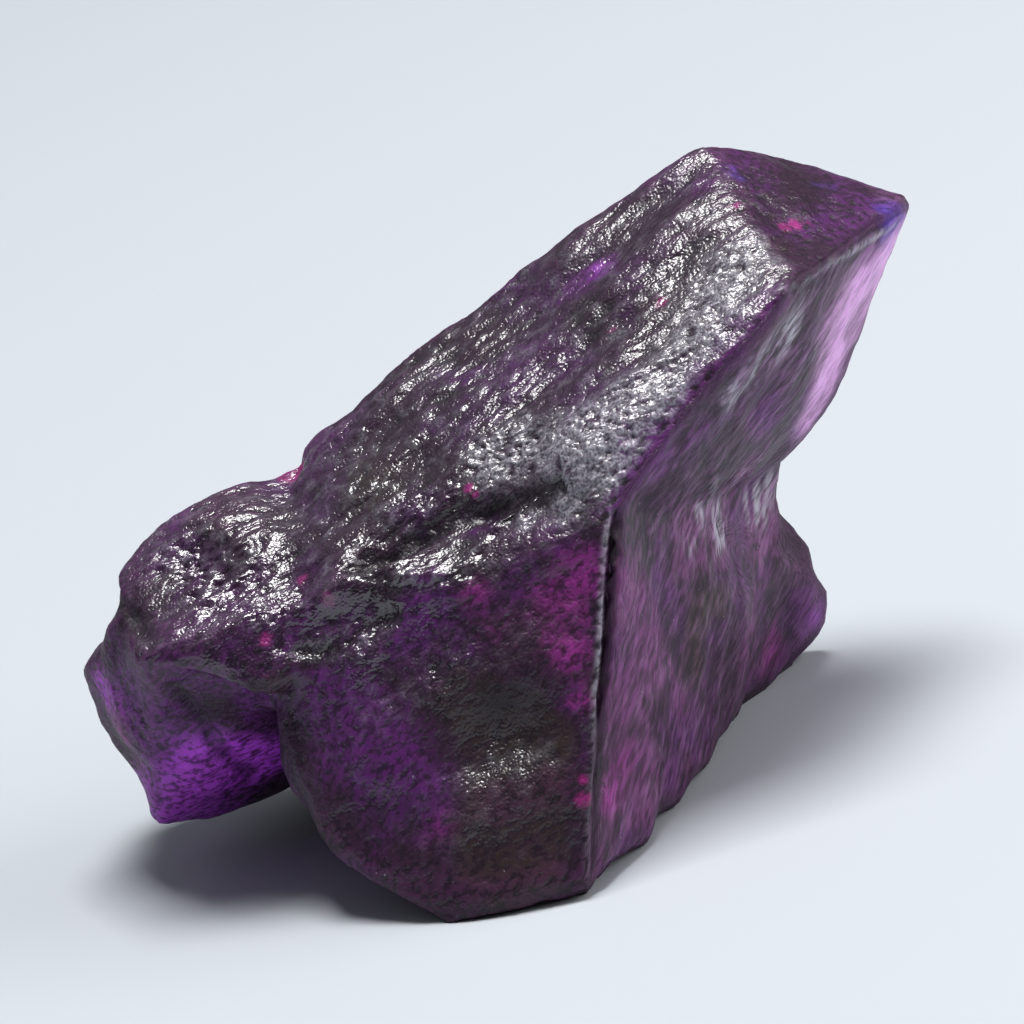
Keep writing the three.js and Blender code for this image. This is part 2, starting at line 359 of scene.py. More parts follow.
# Painted shade: darkened patches on the rim by the left-hand lobe, beside the lip, on the end face
# and in the front recesses
SHADE_PATCHES = (
    ((-17.8, -1.2, 15.1), 0.9, 0.9),
    ((-17.3, 0.0, 15.8), 0.8, 0.7),
    ((-18.3, -2.1, 14.4), 0.9, 0.9),
    ((-12.9, -6.6, 11.4), 1.2, 0.8),
    ((12.1, 2.6, 26.9), 0.9, 0.6),
    ((14.5, 1.0, 25.6), 1.6, 0.6),
    ((16.6, 4.4, 25.2), 1.8, 0.6),
    ((-2.6, -10.5, 9.1), 1.4, 0.8),
    ((-2.2, -11.9, 5.7), 1.2, 0.8),
)
BLUE_PATCHES = (
    ((20.2, 5.6, 22.6), 1.2, 1.0),
    ((20.6, 7.0, 21.8), 1.2, 1.0),
    ((13.2, 4.0, 26.8), 1.2, 0.45),
    ((17.6, 6.5, 24.5), 1.3, 0.4),
)

# Colours of dark grains and of painted shade in pits, hollows and shadows, pale streaks and specks,
# as linear values
DARK_GRAIN_AND_SHADE = (0.012, 0.008, 0.014, 1.0)
SIDE_PALE = (0.34, 0.13, 0.33, 1.0)
SPECK_PALE = (0.75, 0.72, 0.78, 1.0)

# Sizes that the geometry tree takes as inputs
RELIEF_INPUTS = (
    "flow_height",
    "sponge_height",
    "pit_depth",
    "streak_height",
    "swell_height",
    "crack_depth",
    "lip_height",
    "seed",
)


class StoneSizes(PropertyGroup):
    """How finely the stone is split, and how high its relief stands."""

    cuts: IntProperty(
        name="Cuts",
        description="New points along each edge of the packed solid",
        default=3,
        min=1,
        max=5,
    )
    even_rounds: IntProperty(
        name="Evening rounds",
        description="Rounds of smoothing after the split",
        default=6,
        min=0,
    )
    flow_height: FloatProperty(
        name="Flow height",
        description="Height of the ridges that run along the top face",
        default=0.00023,
        unit="LENGTH",
        precision=6,
    )
    sponge_height: FloatProperty(
        name="Sponge height",
        description="Height of the lumpy skin near the ridge and on the shoulder",
        default=0.00011,
        unit="LENGTH",
        precision=6,
    )
    pit_depth: FloatProperty(
        name="Pit depth",
        description="Depth of the small round pits",
        default=0.00009,
        unit="LENGTH",
        precision=6,
    )
    streak_height: FloatProperty(
        name="Streak height",
        description="Height of the fine streaks on the right-hand faces",
        default=0.00007,
        unit="LENGTH",
        precision=6,
    )
    swell_height: FloatProperty(
        name="Swell height",
        description="Height of the low uneven swell all over",
        default=0.00018,
        unit="LENGTH",
        precision=6,
    )
    crack_depth: FloatProperty(
        name="Crack depth",
        description="Depth of the open crack beside the front ridge",
        default=0.00055,
        unit="LENGTH",
        precision=6,
    )
    lip_height: FloatProperty(
        name="Lip height",
        description="Height of the sharp lip along the crack",
        default=0.00016,
        unit="LENGTH",
        precision=6,
    )
    seed: IntProperty(
        name="Seed",
        description="Starting number of the relief's noise",
        default=7,
    )


class StoneColours(PropertyGroup):
    """The colours of the crystal, as linear values; two of them are painted glow, and the grey is
    also painted sparkle.
    """

    dark: FloatVectorProperty(
        name="Dark plum",
        description="Deep body of the crystal",
        default=(0.042, 0.014, 0.040, 1.0),
        size=4,
        subtype="COLOR",
        min=0,
        max=1,
    )
    violet: FloatVectorProperty(
        name="Violet",
        description="Clear violet zones",
        default=(0.135, 0.018, 0.180, 1.0),
        size=4,
        subtype="COLOR",
        min=0,
        max=1,
    )
    magenta: FloatVectorProperty(
        name="Magenta",
        description="Zones beside the ridges",
        default=(0.32, 0.032, 0.27, 1.0),
        size=4,
        subtype="COLOR",
        min=0,
        max=1,
    )
    spot: FloatVectorProperty(
        name="Spot",
        description="Small bright grains",
        default=(0.36, 0.025, 0.21, 1.0),
        size=4,
        subtype="COLOR",
        min=0,
        max=1,
    )
    olive: FloatVectorProperty(
        name="Olive",
        description="Brown, nearly black zones",
        default=(0.044, 0.026, 0.022, 1.0),
        size=4,
        subtype="COLOR",
        min=0,
        max=1,
    )
    mauve: FloatVectorProperty(
        name="Mauve",
        description="Frosted right-hand faces",
        default=(0.17, 0.040, 0.158, 1.0),
        size=4,
        subtype="COLOR",
        min=0,
        max=1,
    )
    # Painted glow: a bright base colour in place of light shining through the thin rims
    lilac: FloatVectorProperty(
        name="Lilac",
        description="Thin rims that light shines through",
        default=(0.96, 0.52, 1.0, 1.0),
        size=4,
        subtype="COLOR",
        min=0,
        max=1,
    )
    # Painted glow: a bright violet base colour in place of light shining through the thin lobe
    glow: FloatVectorProperty(
        name="Glow",
        description="Clear violet of the thin left-hand lobe",
        default=(0.68, 0.09, 1.0, 1.0),
        size=4,
        subtype="COLOR",
        min=0,
        max=1,
    )
    blue: FloatVectorProperty(
        name="Blue violet",
        description="The cool corner at the far end",
        default=(0.13, 0.055, 0.48, 1.0),
        size=4,
        subtype="COLOR",
        min=0,
        max=1,
    )
    # Grey of the streaks and the crack line, also used for painted sparkle on the crust and a painted
    # highlight along the end edge
    frost_and_sheen: FloatVectorProperty(
        name="Frost",
        description="Grey streaks and worn skin",
        default=(0.56, 0.55, 0.63, 1.0),
        size=4,
        subtype="COLOR",
        min=0,
        max=1,
    )
    inside: FloatVectorProperty(
        name="Inside",
        description="Colour of the light that gets through the crystal",
        default=(0.50, 0.12, 0.80, 1.0),
        size=4,
        subtype="COLOR",
        min=0,
        max=1,
    )


class StageSettings(PropertyGroup):
    """Camera, lamps, room light and floor."""

    lens: FloatProperty(
        name="Lens",
        description="Focal length of the camera",
        default=180.53,
        unit="CAMERA",
    )
    distance: FloatProperty(
        name="Distance",
        description="From the camera to the point it looks at",
        default=0.2385,
        unit="LENGTH",
        precision=4,
    )
    elevation: FloatProperty(
        name="Elevation",
        description="How far the camera looks down",
        default=math.radians(17.3),
        subtype="ANGLE",
    )
    roll: FloatProperty(
        name="Roll",
        description="How far the camera leans to one side",
        default=math.radians(12.6),
        subtype="ANGLE",
    )
    aim: FloatVectorProperty(
        name="Aim",
        description="The point at the middle of the picture",
        default=(-0.000178, -0.002445, 0.015187),
        size=3,
        subtype="TRANSLATION",
        precision=6,
    )
    softbox_size: FloatProperty(
        name="Softbox size",
        description="Side of the square lamp overhead",
        default=0.36,
        unit="LENGTH",
    )
    softbox_power: FloatProperty(
        name="Softbox power",
        description="Power of the lamp overhead, in watts",
        default=9.7,
    )
    softbox_place: FloatVectorProperty(
        name="Softbox place",
        description="Where the lamp overhead hangs",
        default=(0.08, 0.03, 0.90),
        size=3,
        subtype="TRANSLATION",
    )
    fill_size: FloatProperty(
        name="Fill size",
        description="Side of the square lamp on the right",
        default=0.5,
        unit="LENGTH",
    )
    fill_power: FloatProperty(
        name="Fill power",
        description="Power of the lamp on the right, in watts",
        default=3.0,
    )
    fill_place: FloatVectorProperty(
        name="Fill place",
        description="Where the lamp on the right stands",
        default=(0.62, -0.06, 0.34),
        size=3,
        subtype="TRANSLATION",
    )
    room_light: FloatProperty(
        name="Room light",
        description="Strength of the light from above and behind",
        default=0.20,
    )
    room_shade: FloatProperty(
        name="Room shade",
        description="Strength of the light from in front",
        default=0.03,
    )
    floor: FloatVectorProperty(
        name="Floor",
        description="Colour of the pale floor",
        default=(0.515, 0.55, 0.595, 1.0),
        size=4,
        subtype="COLOR",
        min=0,
        max=1,
    )


# Node helper


class Wire:
    """A socket that Python's operators work on, and the one place where nodes are made."""

    def __init__(self, tree, socket=None):
        self.tree = tree
        self.socket = socket

    def make(self, kind, settings=None, inputs=None, output=0):
        """Adds a node, sets its settings, then its sockets, and returns one of its outputs."""
        node = self.tree.nodes.new(kind)
        for name, value in (settings or {}).items():
            setattr(node, name, value)
        for key, value in (inputs or {}).items():
            self.feed(node.inputs[key], value)
        if not len(node.outputs):
            return node
        return Wire(self.tree, node.outputs[output])

    def feed(self, socket, value):
        """Links a wire to a socket, or sets the socket's own value."""
        if isinstance(value, Wire):
            self.tree.links.new(value.socket, socket)
        else:
            socket.default_value = value

    def math(self, operation, first, second=None, clamp=False):
        values = {0: first} if second is None else {0: first, 1: second}
        return self.make(
            "ShaderNodeMath", {"operation": operation, "use_clamp": clamp}, values
        )

    def __add__(self, other):
        return self.math("ADD", self, other)

    __radd__ = __add__

    def __sub__(self, other):
        return self.math("SUBTRACT", self, other)

    def __rsub__(self, other):
        return self.math("SUBTRACT", other, self)

    def __mul__(self, other):
        return self.math("MULTIPLY", self, other)

    __rmul__ = __mul__

    def __abs__(self):
        return self.math("ABSOLUTE", self)

    def most(self, other):
        return self.math("MAXIMUM", self, other)

    def clamped(self):
        return self.math("ADD", self, 0.0, clamp=True)

    def step(self, low, high):
        """0 below low, 1 above high, and a smooth way between."""
        return self.make(
            "ShaderNodeMapRange",
            {"interpolation_type": "SMOOTHSTEP"},
            {"Value": self, "From Min": low, "From Max": high},
        )

    def scaled(self, factor):
        return self.make(
            "ShaderNodeVectorMath", {"operation": "SCALE"}, {0: self, "Scale": factor}
        )

    def stretched(self, axis, pull):
        """Coordinates in which a pattern runs long along axis: pull 0 is none, near 1 a lot."""
        along = self.make(
            "ShaderNodeVectorMath", {"operation": "DOT_PRODUCT"}, {0: self, 1: axis}, 1
        )
        shift = self.make(
            "ShaderNodeVectorMath", {"operation": "SCALE"}, {0: axis, "Scale": along * pull}
        )
        return self.make(
            "ShaderNodeVectorMath", {"operation": "SUBTRACT"}, {0: self, 1: shift}
        )

    def turned(self, towards, factor):
        """This direction, mixed towards another by a factor."""
        return self.make(
            "ShaderNodeMix", {"data_type": "VECTOR"}, {0: factor, 4: self, 5: towards}, 1
        )

    def noise(self, scale, detail=3.0, rough=0.5, seed=None, warp=0.0):
        """Even noise, about 0 to 1, read at these coordinates."""
        inputs = {
            "Vector": self,
            "Scale": scale,
            "Detail": detail,
            "Roughness": rough,
            "Distortion": warp,
        }
        if seed is not None:
            inputs["W"] = seed
        settings = {"noise_dimensions": "3D" if seed is None else "4D"}
        return self.make("ShaderNodeTexNoise", settings, inputs)

    def cells(self, scale, smooth):
        """Distance to the nearest of scattered points, with soft borders."""
        return self.make(
            "ShaderNodeTexVoronoi",
            {"feature": "SMOOTH_F1"},
            {"Vector": self, "Scale": scale, "Smoothness": smooth},
        )

    def tinted(self, colour, factor):
        """This colour, mixed towards another by a factor."""
        return self.make(
            "ShaderNodeMix",
            {"data_type": "RGBA", "clamp_factor": True},
            {0: factor, 6: self, 7: colour},
            2,
        )


# Mesh helpers


def split_mesh(mesh, cuts):
    """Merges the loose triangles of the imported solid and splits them, more finely by FINE_LINES."""
    work = bmesh.new()
    work.from_mesh(mesh)
    bmesh.ops.remove_doubles(work, verts=work.verts, dist=1e-7)
    bmesh.ops.subdivide_edges(work, edges=work.edges, cuts=cuts, use_grid_fill=True)
    bmesh.ops.triangulate(work, faces=work.faces)
    work.verts.ensure_lookup_table()
    points = np.array([v.co for v in work.verts]) / MILLI
    near = np.zeros(len(points), bool)
    for line in FINE_LINES:
        near |= line_distance(points, line)[0] < FINE_REACH
    near |= patches(points, CRUST_AND_SHEEN_PATCHES) > 0.55
    near |= patches(points, SPONGE_PATCHES) > 0.55
    edges = [e for e in work.edges if near[e.verts[0].index] and near[e.verts[1].index]]
    bmesh.ops.subdivide_edges(work, edges=edges, cuts=1, use_grid_fill=True)
    bmesh.ops.triangulate(work, faces=work.faces)
    work.to_mesh(mesh)
    work.free()
    mesh.update()


def line_distance(points, line):
    """Distance of each point to a line of straight runs, and the offset from its nearest place."""
    best = np.full(len(points), np.inf)
    offset = np.zeros_like(points)
    for start, end in zip(np.array(line[:-1]), np.array(line[1:])):
        run = end - start
        share = np.clip((points - start) @ run / (run @ run), 0, 1)
        gap = points - (start + share[:, None] * run)
        length = np.linalg.norm(gap, axis=1)
        closer = length < best
        best[closer] = length[closer]
        offset[closer] = gap[closer]
    return best, offset


def band(points, line, width):
    """1 on a line of straight runs, fading to nothing over a width."""
    return np.exp(-((line_distance(points, line)[0] / width) ** 2))


def patches(points, table):
    """1 within the patches of a table, with soft rims."""
    clear = np.ones(len(points))
    for centre, reach, strength in table:
        gap = np.linalg.norm(points - np.array(centre), axis=1)
        clear *= 1 - strength * np.exp(-((gap / reach) ** 2))
    return 1 - clear


class Skin:
    """The points, edges and normals of a mesh as arrays, in millimetres."""

    def __init__(self, mesh):
        self.mesh = mesh
        count = len(mesh.vertices)
        flat = np.empty(count * 3)
        mesh.vertices.foreach_get("co", flat)
        self.points = flat.reshape(-1, 3) / MILLI
        edges = np.empty(len(mesh.edges) * 2, np.int64)
        mesh.edges.foreach_get("vertices", edges)
        self.edges = edges.reshape(-1, 2)
        corners = np.empty(len(mesh.polygons) * 3, np.int64)
        mesh.polygons.foreach_get("vertices", corners)
        self.faces = corners.reshape(-1, 3)
        self.degree = np.bincount(self.edges.ravel(), minlength=count)

    def averaged(self, values):
        """Each point's mean over its neighbours."""
        count = len(self.points)
        one, two = self.edges.T
        columns = []
        for column in values.reshape(count, -1).T:
            total = np.bincount(one, column[two], count)
            total += np.bincount(two, column[one], count)
            columns.append(total / self.degree)
        return np.stack(columns, 1).reshape(values.shape)

    def evened(self, values, rounds):
        for _ in range(rounds):
            values = 0.5 * values + 0.5 * self.averaged(values)
        return values

    def even_shape(self, rounds):
        """Smooths the shape and keeps its size, with its base left flat."""
        base = self.points[:, 2] < BASE_HEIGHT
        for _ in range(rounds):
            for share in (0.5, -0.52):
                moved = self.averaged(self.points) - self.points
                moved[base, 2] = 0
                self.points = self.points + share * moved
        self.points[:, 2] = np.maximum(self.points[:, 2], 0)
        low = np.clip(1.2 - self.points[:, 2] / LOW_REACH, 0, 1)[:, None]
        for _ in range(LOW_ROUNDS):
            moved = 0.5 * (self.averaged(self.points) - self.points)
            self.points[:, :2] += (low * moved)[:, :2]
        self.mesh.vertices.foreach_set("co", (self.points * MILLI).ravel())
        self.mesh.update()

    def normals(self):
        """Outward direction at each point, weighted by the size of its faces."""
        a, b, c = (self.points[self.faces[:, i]] for i in range(3))
        face = np.cross(b - a, c - a)
        total = np.zeros_like(self.points)
        for i in range(3):
            for axis in range(3):
                total[:, axis] += np.bincount(
                    self.faces[:, i], face[:, axis], len(self.points)
                )
        return total / np.maximum(np.linalg.norm(total, axis=1), 1e-12)[:, None]

    def keep(self, name, values):
        """Stores one number per point under a name."""
        layer = self.mesh.attributes.new(name, "FLOAT", "POINT")
        layer.data.foreach_set("value", values.astype(np.float32))


def facing(normals, direction, low, high):
    """1 where the surface faces a direction, between two cosines."""
    cosine = normals @ (np.array(direction) / np.linalg.norm(direction))
    share = np.clip((cosine - low) / (high - low), 0, 1)
    return share * share * (3 - 2 * share)


def mark_zones(skin):
    """Stores the masks that the relief and the colours read."""
    points = skin.points
    normals = skin.normals()
    broad = skin.evened(normals, BROAD_ROUNDS)
    broad /= np.linalg.norm(broad, axis=1)[:, None]
    top = facing(broad, TOP_FACE, 0.72, 0.92)
    side = facing(broad, SIDE_FACE, 0.72, 0.92)
    overhang = facing(broad, OVERHANG_FACE, 0.78, 0.95)
    front = facing(broad, FRONT_FACE, 0.72, 0.92)
    bulge = ((points - skin.evened(points, BULGE_ROUNDS)) * normals).sum(1)
    gap, offset = line_distance(points, CRACK_LINE)
    across = offset @ np.array(CRACK_ACROSS)
    open_share = np.clip((points[:, 2] - 6.0) / 3.0, 0.25, 1)
    groove = np.exp(-(((across - 0.32) / 0.20) ** 2)) * (gap < 1.2) * open_share
    lip = np.exp(-(((across + 0.02) / 0.16) ** 2)) * (gap < 1.2)
    ends = np.clip((16.4 - points[:, 2]) / 0.8, 0, 1) * np.clip(points[:, 2] / 1.5, 0, 1)
    crust_and_sheen = patches(points, CRUST_AND_SHEEN_PATCHES) * facing(broad, TOP_FACE, 0.45, 0.8)
    skin.keep("top", top)
    skin.keep("front", front)
    skin.keep("side", side)
    skin.keep("overhang", overhang)
    skin.keep("edge", np.clip(bulge / 0.12, -1, 1))
    groove = groove * ends
    lip = lip * ends
    for line, shift, width, depth in GAPS:
        moved = np.array(line) + np.array(shift)
        groove = np.maximum(groove, depth * band(points, moved, width))
    for line, width, rise in LIPS:
        lip = np.maximum(lip, rise * band(points, line, width))
    skin.keep("groove", groove)
    skin.keep("lip", lip)
    crackline = np.exp(-(((across + 0.02) / 0.14) ** 2)) * (gap < 1.2) * ends
    skin.keep("crackline", crackline * open_share)
    skin.keep("crust_and_sheen", crust_and_sheen)
    skin.keep("wet", patches(points, WET_PATCHES))
    skin.keep("sponge", patches(points, SPONGE_PATCHES))
    skin.keep("violet", patches(points, VIOLET_PATCHES))
    skin.keep("magenta", patches(points, MAGENTA_PATCHES))
    skin.keep("spot", patches(points, SPOT_PATCHES))
    skin.keep("olive", patches(points, OLIVE_PATCHES))
    skin.keep("mauve", patches(points, MAUVE_PATCHES))
    skin.keep("lilac", patches(points, LILAC_PATCHES))
    skin.keep("blue", patches(points, BLUE_PATCHES))
    skin.keep("glow", patches(points, GLOW_PATCHES))
    skin.keep("frosted", patches(points, FROST_PATCHES))
    skin.keep("crumble", patches(points, CRUMBLE_PATCHES))
    # Painted shade: the shadow under the ledge, the darkened patches, and darker towards the base
    shade = np.maximum(patches(points, SHADE_PATCHES), band(points, SHADE_LINE, 0.6))
    shade = np.maximum(shade, 0.7 * np.clip(1 - points[:, 2] / 2.0, 0, 1))
    skin.keep("shade", shade)
    skin.keep("ridge", band(points, TOP_RIDGE_LINE, 0.7))
    # Painted highlight: a thin pale line along the end edge
    skin.keep("endline", band(points, END_EDGE_LINE, 0.16))


# Relief


def relief_tree(sizes, material):
    """A geometry tree that raises the relief and breaks up the colour masks."""
    tree = bpy.data.node_groups.new("StoneRelief", "GeometryNodeTree")
    sockets = {}
    tree.interface.new_socket("Geometry", in_out="INPUT", socket_type="NodeSocketGeometry")
    for name in RELIEF_INPUTS:
        socket = tree.interface.new_socket(
            name, in_out="INPUT", socket_type="NodeSocketFloat"
        )
        socket.default_value = float(getattr(sizes, name))
        sockets[name] = socket.identifier
    tree.interface.new_socket("Geometry", in_out="OUTPUT", socket_type="NodeSocketGeometry")
    source = tree.nodes.new("NodeGroupInput")
    given = {s.name: Wire(tree, s) for s in source.outputs if s.name}
    net = Wire(tree)

    def mask(name):
        return net.make(
            "GeometryNodeInputNamedAttribute", {"data_type": "FLOAT"}, {"Name": name}
        )

    place = net.make("GeometryNodeInputPosition").scaled(1 / MILLI)
    seed = given["seed"]
    crust_and_sheen, sponge, wet = mask("crust_and_sheen"), mask("sponge"), mask("wet")
    top, front, side, overhang = (mask(n) for n in ("top", "front", "side", "overhang"))
    rough = crust_and_sheen.most(sponge * 1.6).most(mask("crumble") * 1.8)

    # Patterns that the heights and the colours share
    flow = place.stretched(FLOW_AXIS, 0.6).noise(1.2, 3.0, 0.58, seed, 0.5)
    worms = 1 - abs(place.noise(1.1, 2.0, 0.5, seed + 3.0, 0.8) - 0.5) * 5.0
    lumps = place.noise(1.5, 3.0, 0.55, seed + 5.0, 0.3)
    lace = (1 - abs(place.noise(2.0, 2.0, 0.5, seed + 19.0, 0.7) - 0.5) * 6.0).step(0.0, 0.8)
    pits = 1 - place.cells(1.5, 0.2).step(0.10, 0.40)
    slanted = place.stretched(OVERHANG_AXIS, 0.8).noise(2.0, 3.0, 0.55, seed + 7.0, 0.4)
    upright = place.stretched(UPRIGHT_AXIS, 0.8).noise(1.8, 3.0, 0.55, seed + 9.0, 0.4)
    swell = place.noise(0.38, 2.0, 0.5, seed + 11.0, 0.5)
    cloud = place.noise(0.22, 3.0, 0.55, seed + 13.0, 0.4)
    mottle = place.noise(0.8, 4.0, 0.6, seed + 15.0, 0.4)
    grain = place.noise(2.2, 3.0, 0.6, seed + 17.0)

    # Height of the relief
    height = (swell - 0.5) * given["swell_height"] * 2.0
    height = height + (flow - 0.5) * given["flow_height"] * 3.0 * top
    plain = 0.35 - side * 0.3 - overhang * 0.3
    height = height + (worms - 0.2) * given["sponge_height"] * rough.most(plain)
    height = height + (lace - 0.4) * given["sponge_height"] * 0.7 * crust_and_sheen.most(sponge)
    height = height + (lumps - 0.5) * given["sponge_height"] * (rough + wet * 0.8 + 0.6)
    height = height - pits * given["pit_depth"] * (rough + 0.12)
    height = height + (slanted - 0.5) * given["streak_height"] * 2.0 * overhang
    height = height + (upright - 0.5) * given["streak_height"] * (side * 2.0 + front * 2.6)
    height = height - mask("groove") * given["crack_depth"]
    height = height + mask("lip") * given["lip_height"]
    up = net.make("ShaderNodeSeparateXYZ", None, {0: place}, 2)
    height = height * up.step(0.05, 0.8)

    # Masks, broken up
    patchy = mottle * 0.4 + grain * 0.3 + upright * 0.3
    veined = (cloud + (grain - 0.5) * 0.35).step(0.44, 0.66) * 0.8

    def broken(name, by, low=0.25, high=0.80, amount=1.7):
        return (mask(name) + (by - 0.5) * amount).step(low, high)

    worn = (mask("frosted") + (mottle - 0.5) * 0.6).step(0.2, 0.8)
    streaks = upright.step(0.44, 0.60) * side * worn
    hazy = slanted.step(0.48, 0.66) * overhang * (0.12 + worn * 0.25)
    # Painted highlights on the lumps of the top face, added to the crust's pale sheen
    lump_sheen = top * lumps.step(0.45, 0.7) * 0.35
    gloss = 0.12 + top * 0.8 + wet + mask("crumble") * 0.3 + front * 0.3
    kept = {
        "violet": broken("violet", patchy).most(veined * (1 - top * 0.35)),
        "magenta": broken("magenta", patchy, 0.2, 1.0, 1.9),
        "olive": broken("olive", patchy, 0.34, 0.66),
        "mauve": broken("mauve", upright * 0.7 + grain * 0.3, 0.2, 0.7),
        # lilac: painted glow of the thin rims, with hazy streaks under the overhang
        "lilac": broken("lilac", slanted, 0.05, 0.85, 0.7).most(hazy),
        "blue": broken("blue", patchy),
        "glow": broken("glow", patchy, 0.2, 0.8, 0.7),
        "spot": broken("spot", grain, 0.3, 0.6, 0.6),
        # frost: grey streaks and the pale crack line, plus a painted highlight along the end edge
        "frost_and_sheen": streaks.most(mask("endline") * 0.7).most(mask("crackline") * 0.6),
        # crust: the rough crust, plus painted highlights on the lumps of the top face
        "crust_and_sheen": (crust_and_sheen + (mottle - 0.5) * 1.1).step(0.1, 1.0).most(lump_sheen),
        "lace": lace,
        "mottle": mottle,
        "raised": height * (1 / MILLI),
        "shaken": 0.65 + top * 0.15 + wet * 0.1 + mask("crumble") * 0.5 - side * 0.2,
        "gloss": gloss.clamped() * (1 - mask("shade") * 0.85),
    }
    shape = given["Geometry"]
    for name, value in kept.items():
        shape = net.make(
            "GeometryNodeStoreNamedAttribute",
            {"data_type": "FLOAT", "domain": "POINT"},
            {"Geometry": shape, "Name": name, "Value": value},
        )
    lie = net.make("ShaderNodeCombineXYZ", None, dict(enumerate(FLOW_AXIS)))
    lie = lie.turned(UPRIGHT_AXIS, side).turned(OVERHANG_AXIS, overhang)
    pull = 0.41 + side.most(overhang) * 0.36
    shape = net.make(
        "GeometryNodeStoreNamedAttribute",
        {"data_type": "FLOAT_VECTOR", "domain": "POINT"},
        {"Geometry": shape, "Name": "grain_place", "Value": place.stretched(lie, pull)},
    )
    offset = net.make(
        "ShaderNodeVectorMath",
        {"operation": "SCALE"},
        {0: net.make("GeometryNodeInputNormal"), "Scale": mask("raised") * MILLI},
    )
    shape = net.make(
        "GeometryNodeSetPosition", None, {"Geometry": shape, "Offset": offset}
    )
    shape = net.make("GeometryNodeSetShadeSmooth", None, {"Geometry": shape})
    shape = net.make("GeometryNodeRealizeInstances", None, {"Geometry": shape})
    shape = net.make(
        "GeometryNodeSetMaterial", None, {"Geometry": shape, "Material": material}
    )
    end = tree.nodes.new("NodeGroupOutput")
    tree.links.new(shape.socket, end.inputs[0])
    return tree, sockets


# Material


def crystal_material(colours):
    """Dark violet crystal: see-through where it is thin, with a wet, pitted skin, and with painted
    glow, sparkle and shade in its colour.
    """
    material = bpy.data.materials.new("Crystal")
    material.use_nodes = True
    tree = material.node_tree
    tree.nodes.clear()
    net = Wire(tree)

    def mask(name, output=2):
        return net.make(
            "ShaderNodeAttribute",
            {"attribute_type": "GEOMETRY", "attribute_name": name},
            None,
            output,
        )

    place = net.make("ShaderNodeTexCoord", None, None, 3).scaled(1 / MILLI)
    side, overhang = mask("side"), mask("overhang")
    grain = mask("grain_place", 1).noise(3.4, 1.5, 0.6)
    fine = place.noise(8.0, 0.0)
    crust_and_sheen, wet = mask("crust_and_sheen"), mask("wet")

    def grainy(name):
        return mask(name) * (0.45 + grain.step(0.3, 0.65) * 0.55)

    colour = net.make("ShaderNodeRGB")
    colour.socket.default_value = colours.dark[:]
    colour = colour.tinted(tuple(colours.violet), grainy("violet"))
    colour = colour.tinted(tuple(colours.mauve), grainy("mauve"))
    colour = colour.tinted(tuple(colours.magenta), grainy("magenta"))
    colour = colour.tinted(tuple(colours.olive), grainy("olive") * 0.9)
    colour = colour.tinted(tuple(colours.blue), mask("blue"))
    # Painted glow on the thin left-hand lobe
    colour = colour.tinted(tuple(colours.glow), grainy("glow"))
    lit = grain.step(0.3, 0.6)
    # Painted glow: the thin rims get a bright lilac base colour for the light shining through them
    lilac = mask("lilac")
    colour = colour.tinted(tuple(colours.lilac), lilac * (0.65 + lit * 0.35))
    colour = colour.tinted(tuple(colours.violet), mask("ridge") * lit * 0.8)
    # Grey streaks and crack line, with a painted highlight along the end edge
    colour = colour.tinted(tuple(colours.frost_and_sheen), mask("frost_and_sheen") * (0.3 + lit * 0.6))
    worn = mask("edge").step(0.15, 0.9) * grain.step(0.25, 0.65)
    colour = colour.tinted(tuple(colours.mauve), worn * 0.3)
    # Painted sparkle: pale lace on the crust in place of the white highlights of its wet lumps
    lace = mask("lace") * (0.35 + fine.step(0.35, 0.6) * 0.65)
    colour = colour.tinted(tuple(colours.frost_and_sheen), crust_and_sheen * (0.05 + lace * 0.85))
    # Painted shade: darkens the colour under the ledge, in the shade patches and towards the base
    shade = mask("shade")
    colour = colour.tinted(DARK_GRAIN_AND_SHADE, shade * mask("mottle").step(0.25, 0.6) * 0.75)
    paler = grain.step(0.5, 0.7) * side * 0.22
    colour = colour.tinted(SIDE_PALE, paler)
    darker = (1 - grain).step(0.42, 0.72) * (1 - mask("top") * 0.6) * (1 - lilac)
    colour = colour.tinted(DARK_GRAIN_AND_SHADE, darker * (0.68 - side.most(overhang) * 0.25))
    # Painted shade: darker wherever the relief sinks, in pits, grooves and the crack
    hollow_shade = (0.02 - mask("raised")).step(0.0, 0.14)
    colour = colour.tinted(DARK_GRAIN_AND_SHADE, hollow_shade * 0.6)
    colour = colour.tinted(tuple(colours.spot), mask("spot") * (0.5 + lit * 0.5))
    specks = fine.step(0.82, 0.88) * mask("mottle").step(0.5, 0.62)
    colour = colour.tinted(SPECK_PALE, specks * 0.6)
    roughness = 0.28 - wet * 0.05 + (grain - 0.5) * 0.2
    bump = net.make(
        "ShaderNodeBump",
        None,
        {
            "Strength": BUMP_STRENGTH,
            "Distance": BUMP_DISTANCE,
            "Height": (fine * 0.4 + grain * 1.1) * mask("shaken"),
        },
    )
    shared = {"Base Color": colour, "IOR": CRYSTAL_IOR, "Normal": bump}
    uneven = {"Roughness": roughness.clamped(), "Coat Weight": 0.1 + wet * 0.35}
    glossy = net.make("ShaderNodeBsdfPrincipled", None, {**shared, **uneven, **GLOSSY_SKIN})
    frosted = net.make("ShaderNodeBsdfPrincipled", None, {**shared, **FROSTED_SKIN})
    shader = net.make(
        "ShaderNodeMixShader", None, {0: mask("gloss"), 1: frosted, 2: glossy}
    )
    inside = net.make(
        "ShaderNodeVolumeAbsorption",
        None,
        {"Color": tuple(colours.inside), "Density": ABSORPTION},
    )
    net.make(
        "ShaderNodeOutputMaterial", None, {"Surface": shader, "Volume": inside}
    )
    return material


